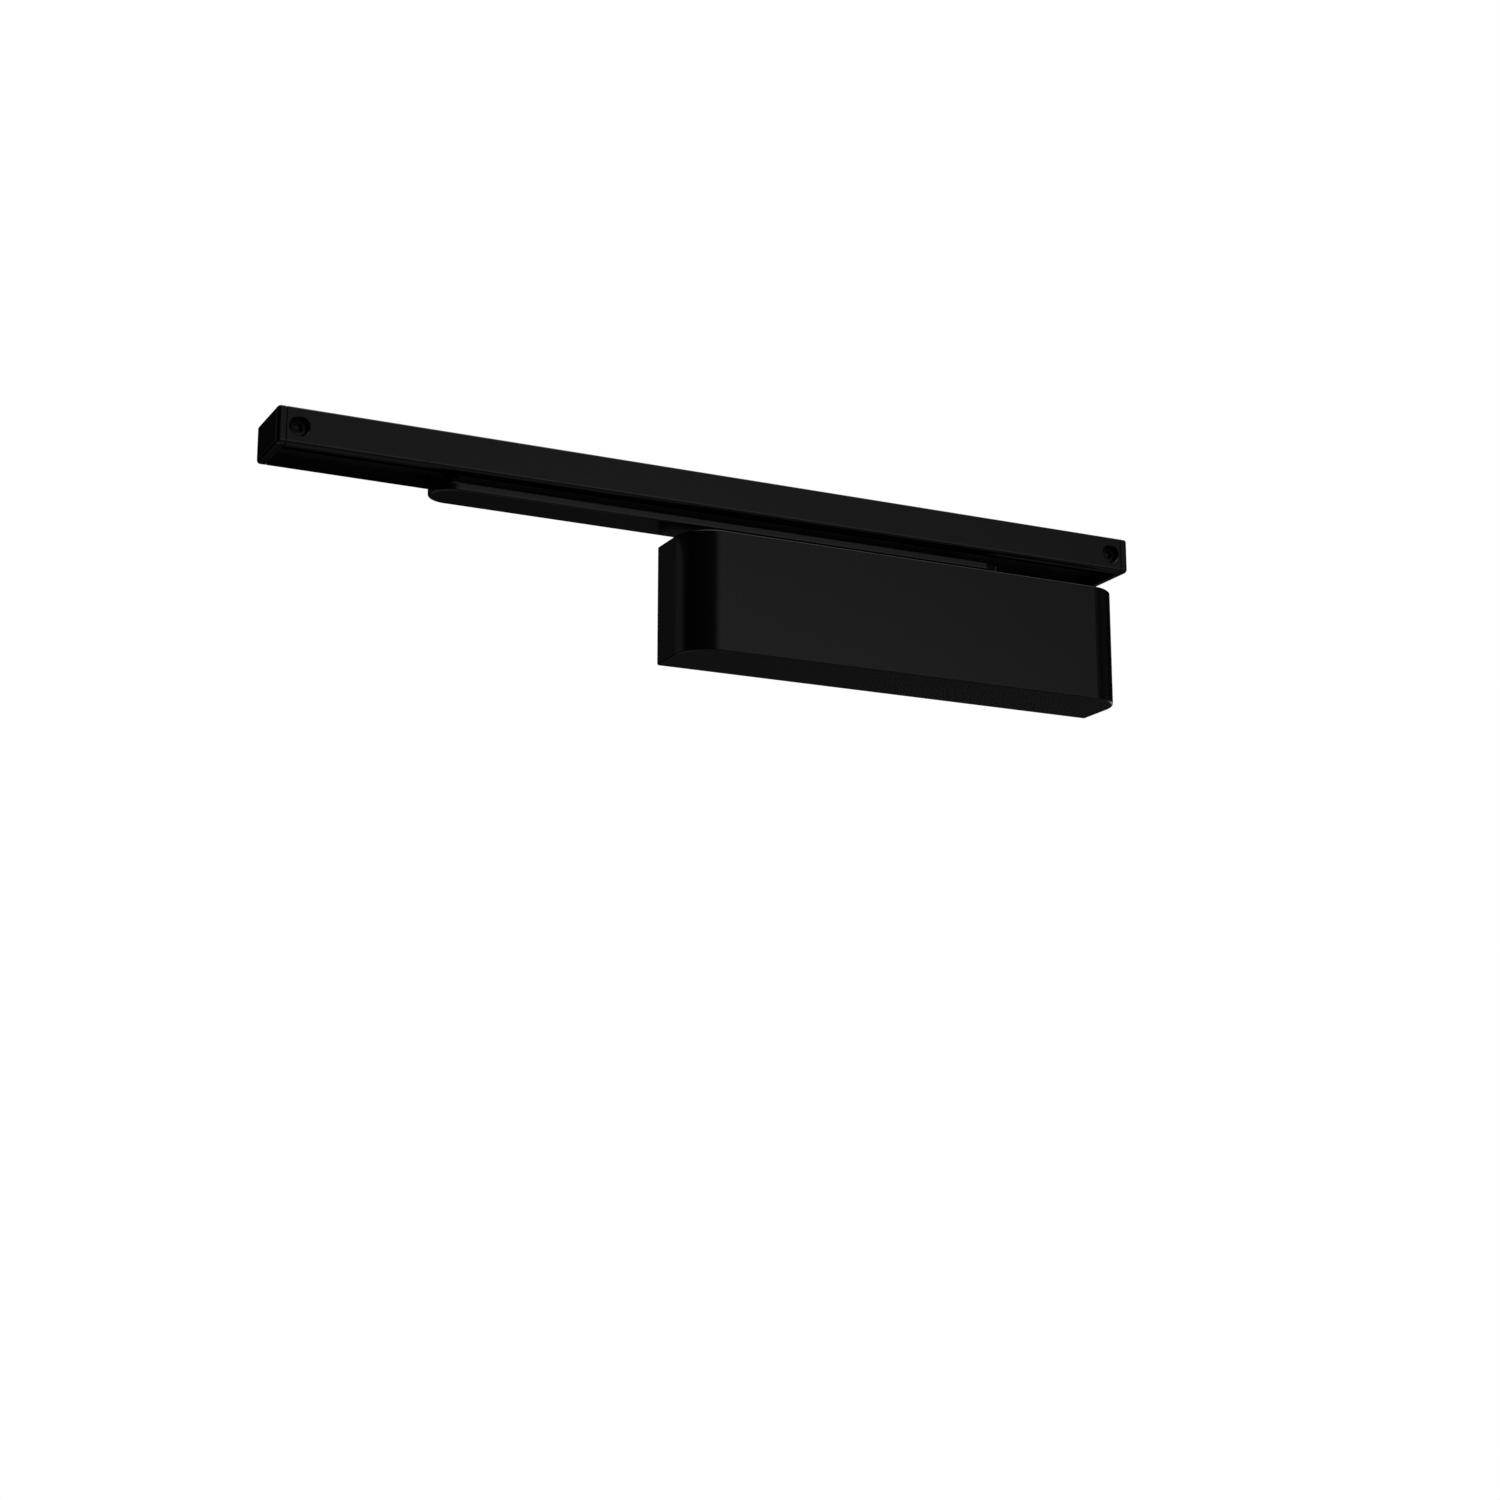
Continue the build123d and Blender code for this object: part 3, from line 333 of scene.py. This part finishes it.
def build_coil_tree():
    """A coil of round wire about local Z, between two ends."""
    tree, group_in, group_out = new_tree("coil", [
        ("Coil Radius", "Float"), ("Wire Radius", "Float"), ("Length", "Float"), ("Turns", "Float"),
        ("Start", "Vector"), ("Rotation", "Vector")])
    link = tree.links.new
    spiral = add_node(tree, "GeometryNodeCurveSpiral", {"Resolution": 48})
    link(group_in.outputs["Turns"], spiral.inputs["Rotations"])
    link(group_in.outputs["Coil Radius"], spiral.inputs["Start Radius"])
    link(group_in.outputs["Coil Radius"], spiral.inputs["End Radius"])
    link(group_in.outputs["Length"], spiral.inputs["Height"])
    wire = add_node(tree, "GeometryNodeCurvePrimitiveCircle", {"Resolution": 20}, mode="RADIUS")
    link(group_in.outputs["Wire Radius"], wire.inputs["Radius"])
    coil = add_node(tree, "GeometryNodeCurveToMesh", {"Fill Caps": True})
    link(spiral.outputs["Curve"], coil.inputs["Curve"])
    link(wire.outputs["Curve"], coil.inputs["Profile Curve"])
    lay = add_node(tree, "GeometryNodeTransform")
    link(coil.outputs["Mesh"], lay.inputs["Geometry"])
    link(group_in.outputs["Start"], lay.inputs["Translation"])
    link(group_in.outputs["Rotation"], lay.inputs["Rotation"])
    finish_tree(tree, lay.outputs["Geometry"], group_in, group_out)
    return tree


SCREW_ROW = build_screw_row_tree()
COIL = build_coil_tree()


# ---------------------------------------------------------------- rail screws

def socket_screw_rings(tip, seat, head_r, head_h, neck_r, shank_r, shank_start, key, key_depth, edge):
    """Rings of a socket head screw along Z: tip below, head on top, socket in the head."""
    top = seat + head_h
    bottom = top - key_depth
    return [
        (tip, shank_r * 0.35, "round"), (tip + shank_r * 0.8, shank_r, "round"),
        (shank_start, shank_r, "round"), (shank_start + edge, neck_r, "round"),
        (seat - edge, neck_r, "round"), (seat, neck_r + edge, "round"),
        (seat, head_r - edge, "round"), (seat + edge, head_r, "round"),
        (top - edge * 1.6, head_r, "round"), (top - edge * 0.5, head_r - edge * 0.5, "round"),
        (top, head_r - edge * 1.6, "round"),
        (top, key / 2 + edge * 1.2, "round"), (top - edge, key / 2, "hex"),
        (bottom, key / 2, "hex"), (bottom - edge * 2, key / 6, "round"),
    ]


def screw_row_sizes(low, high, head_r, shank_r, thread_depth, tip_room, thread_length, turns,
                    columns, rows):
    """Sizes for a grid of screws that fills the CAD box from low to high, heads to the front."""
    return {
        "Thread Radius": shank_r, "Thread Depth": thread_depth, "Thread Start": tip_room - high.y,
        "Thread Length": thread_length, "Turns": turns, "Columns": columns, "Rows": rows,
        "Width": high.x - low.x - 2 * head_r,
        "Height": high.z - low.z - 2 * head_r if rows > 1 else 0.0,
        "Centre": Vector(((low.x + high.x) / 2, 0, (low.z + high.z) / 2)),
        "Rotation": (pi / 2, 0, 0)}


def make_rail_screws():
    """The two screws that hold the rail to the frame."""
    low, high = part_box("rail_screws")
    head_r, head_h = (high.z - low.z) / 2, 3.2 * MM
    shank_r, neck_r, thread_depth = 2.5 * MM, 2.2 * MM, 0.42 * MM
    rings = socket_screw_rings(
        tip=-high.y, seat=-low.y - head_h, head_r=head_r, head_h=head_h, neck_r=neck_r,
        shank_r=shank_r - thread_depth, shank_start=-0.4 * MM, key=4 * MM, key_depth=2 * MM, edge=0.25 * MM)
    sizes = screw_row_sizes(low, high, head_r, shank_r, thread_depth, tip_room=1.9 * MM,
                            thread_length=9.2 * MM, turns=8.0, columns=2, rows=1)
    screw = turned_mesh("rail_screw", rings)
    mesh = grown_mesh("rail_screws_threaded", screw, SCREW_ROW, FINISHES["black_screw"], sizes)
    soften(mesh)
    put_piece("rail_screws_threaded", mesh, "rail_group", "black_screw", "rail_screws")


def make_housing_screws():
    """The four screws that hold the housing to its plate."""
    low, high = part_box("housing_screws")
    head_r, head_h = 4.25 * MM, 5 * MM
    shank_r, thread_depth = 2.5 * MM, 0.35 * MM
    root_r = shank_r - thread_depth
    rings = socket_screw_rings(
        tip=-high.y, seat=-low.y - head_h, head_r=head_r, head_h=head_h, neck_r=root_r, shank_r=root_r,
        shank_start=6 * MM - high.y, key=3.5 * MM, key_depth=2.75 * MM, edge=0.25 * MM)
    sizes = screw_row_sizes(low, high, head_r, shank_r, thread_depth, tip_room=1.2 * MM,
                            thread_length=12 * MM, turns=15.0, columns=2, rows=2)
    screw = turned_mesh("housing_screw", rings)
    mesh = grown_mesh("housing_screws_threaded", screw, SCREW_ROW, FINISHES["steel"], sizes)
    soften(mesh)
    put_piece("housing_screws_threaded", mesh, "closer_body", "steel", "housing_screws")


def make_closing_spring():
    """The closing spring in two coils on the closer body: the first turns at the seat end, the others at
    the piston end.
    """
    low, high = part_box("closing_spring")
    wire_r, side_room = 2 * MM, 0.05 * MM
    coil_r = (high.z - low.z) / 2 - wire_r - side_room
    seat_turns, turns = 3, 9
    pitch = (high.x - low.x - 2 * wire_r) / turns
    start = Vector((low.x + wire_r, (low.y + high.y) / 2, (low.z + high.z) / 2))
    split = start + Vector((seat_turns * pitch, 0, 0))
    slot = slot_of["closing_spring"]
    for name, place, part_turns, joint, reach in (
            ("closing_spring_seat_end", start, seat_turns, "seat_travel", split.x - low.x),
            ("closing_spring_piston_end", split, turns - seat_turns, "piston_slide", high.x - split.x)):
        mesh = grown_mesh(name, bpy.data.meshes.new("no_base"), COIL, FINISHES[slot], {
            "Coil Radius": coil_r, "Wire Radius": wire_r, "Length": part_turns * pitch,
            "Turns": float(part_turns), "Start": place, "Rotation": (0, pi / 2, 0)})
        soften(mesh)
        piece = put_piece(name, mesh, "closer_body", slot, "closing_spring")
        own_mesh(piece)


make_rail_screws()
make_housing_screws()
make_closing_spring()


# ---------------------------------------------------------------- studio

def make_floor():
    """A wide pale floor, well below the part, with a painted glow that grows brighter towards its edge."""
    mesh = bpy.data.meshes.new("studio_floor")
    reach, drop = 4.0, 1.25
    level = CAD_BOX[0][2] - drop
    mesh.from_pydata([(-reach, -reach, level), (reach, -reach, level),
                      (reach, reach, level), (-reach, reach, level)], [], [(0, 1, 2, 3)])
    floor = bpy.data.objects.new("studio_floor", mesh)
    bpy.context.scene.collection.objects.link(floor)
    paper = bpy.data.materials.new("pale_paper")
    paper.use_nodes = True
    tree = paper.node_tree
    shader = tree.nodes["Principled BSDF"]
    shader.inputs["Base Color"].default_value = (0.86, 0.86, 0.85, 1)
    shader.inputs["Roughness"].default_value = 0.9
    shader.inputs["Emission Color"].default_value = (1.0, 1.0, 0.99, 1)
    place = add_node(tree, "ShaderNodeTexCoord")
    flat = add_node(tree, "ShaderNodeVectorMath", {1: (1, 1, 0)}, operation="MULTIPLY")
    away = add_node(tree, "ShaderNodeVectorMath", operation="LENGTH")
    # painted glow: the floor's emission rises from the middle out to its edge, so the floor reads white far
    # off
    glow = add_node(tree, "ShaderNodeMapRange", {
        "From Min": 0.6, "From Max": 3.2, "To Min": 0.62, "To Max": 1.05},
        interpolation_type="SMOOTHSTEP")
    tree.links.new(place.outputs["Object"], flat.inputs[0])
    tree.links.new(flat.outputs["Vector"], away.inputs[0])
    tree.links.new(away.outputs["Value"], glow.inputs["Value"])
    tree.links.new(glow.outputs["Result"], shader.inputs["Emission Strength"])
    mesh.materials.append(paper)
    floor.visible_glossy = False
    floor.visible_diffuse = False


# Soft boxes of the studio, seen only by reflection and as light:
# (towards, full within this many degrees, gone beyond, strength)
SOFT_BOXES = [
    ((0.353, -0.935, 0.019), 1, 27.0, 0.52),
    ((-0.71, 0.67, 0.20), 5, 29, 0.075),
    ((0.43, -0.23, -0.87), 10, 45, 0.15),
    ((0.69, 0.69, -0.23), 5, 40, 0.026),
    ((0.95, -0.30, 0.10), 4, 24, 0.05),
    ((0.0, -0.10, 0.99), 20, 50, 0.90),
    ((0.35, 0.55, 0.76), 8, 34, 0.80),
    ((-0.10, 0.60, -0.79), 8, 30, 0.25),
    ((0.880, 0.440, -0.180), 6, 22, 1.30),
    ((0.0, 0.574, -0.819), 8, 22, 0.12),
    ((-0.900, 0.200, -0.375), 6, 22, 0.12),
    ((0.100, -0.560, 0.820), 6, 22, 0.50),
    ((-0.826, 0.516, 0.225), 6, 20, 0.055),
]
ROOM_LEVEL = 0.001


def light_room():
    """White behind the part for the camera, a dark room with soft boxes for everything else."""
    world = bpy.data.worlds.new("studio")
    world.use_nodes = True
    tree = world.node_tree
    tree.nodes.clear()
    link = tree.links.new
    way = add_node(tree, "ShaderNodeTexCoord")
    total = None
    for towards, full, gone, strength in SOFT_BOXES:
        aim = add_node(tree, "ShaderNodeVectorMath", operation="DOT_PRODUCT")
        link(way.outputs["Generated"], aim.inputs[0])
        aim.inputs[1].default_value = Vector(towards).normalized()
        fade = add_node(tree, "ShaderNodeMapRange", {
            "From Min": cos(radians(gone)), "From Max": cos(radians(full)),
            "To Min": 0.0, "To Max": strength}, interpolation_type="SMOOTHSTEP")
        link(aim.outputs["Value"], fade.inputs["Value"])
        if total is None:
            total = fade.outputs["Result"]
        else:
            both = add_node(tree, "ShaderNodeMath", operation="ADD")
            link(total, both.inputs[0])
            link(fade.outputs["Result"], both.inputs[1])
            total = both.outputs[0]
    lowest = add_node(tree, "ShaderNodeMath", {1: ROOM_LEVEL}, operation="ADD")
    link(total, lowest.inputs[0])
    room = add_node(tree, "ShaderNodeBackground", {"Color": (1, 1, 1, 1)})
    link(lowest.outputs[0], room.inputs["Strength"])
    paper = add_node(tree, "ShaderNodeBackground", {"Color": (1, 1, 1, 1), "Strength": 1.0})
    ray = add_node(tree, "ShaderNodeLightPath")
    pick = add_node(tree, "ShaderNodeMixShader")
    link(ray.outputs["Is Camera Ray"], pick.inputs["Fac"])
    link(room.outputs[0], pick.inputs[1])
    link(paper.outputs[0], pick.inputs[2])
    out = add_node(tree, "ShaderNodeOutputWorld")
    link(pick.outputs[0], out.inputs["Surface"])
    bpy.context.scene.world = world


def make_lamp(name, place, target, size, power):
    """A soft rectangular lamp that the camera doesn't see."""
    lamp = bpy.data.lights.new(name, "AREA")
    lamp.shape = "RECTANGLE"
    lamp.size, lamp.size_y = size
    lamp.energy = power
    holder = bpy.data.objects.new(name, lamp)
    bpy.context.scene.collection.objects.link(holder)
    holder.location = place
    holder.rotation_euler = (Vector(target) - Vector(place)).to_track_quat("-Z", "Y").to_euler()
    holder.visible_camera = False
    holder.visible_glossy = False


make_floor()
light_room()
make_lamp("overhead_lamp", (0.0, -0.6, 2.2), (-0.1, 0.0, 0.0), (2.0, 2.0), 4.0)


# ---------------------------------------------------------------- camera

def make_camera():
    """Camera low and to the left, looking up at the closer."""
    rail_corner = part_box("rail_end_cap_left")[0]
    eye = rail_corner + Vector((-0.30109, -1.09115, -0.39981))
    yaw, pitch = radians(26.19), radians(13.09)
    look = Vector((sin(yaw) * cos(pitch), cos(yaw) * cos(pitch), sin(pitch)))
    lens = bpy.data.cameras.new("camera")
    lens.sensor_width = 36.0
    lens.lens = 63.13
    lens.clip_start = 0.05
    lens.clip_end = 60.0
    camera = bpy.data.objects.new("camera", lens)
    bpy.context.scene.collection.objects.link(camera)
    camera.location = eye
    camera.rotation_euler = look.to_track_quat("-Z", "Y").to_euler()
    bpy.context.scene.camera = camera


make_camera()
bpy.context.scene.view_settings.view_transform = "Standard"
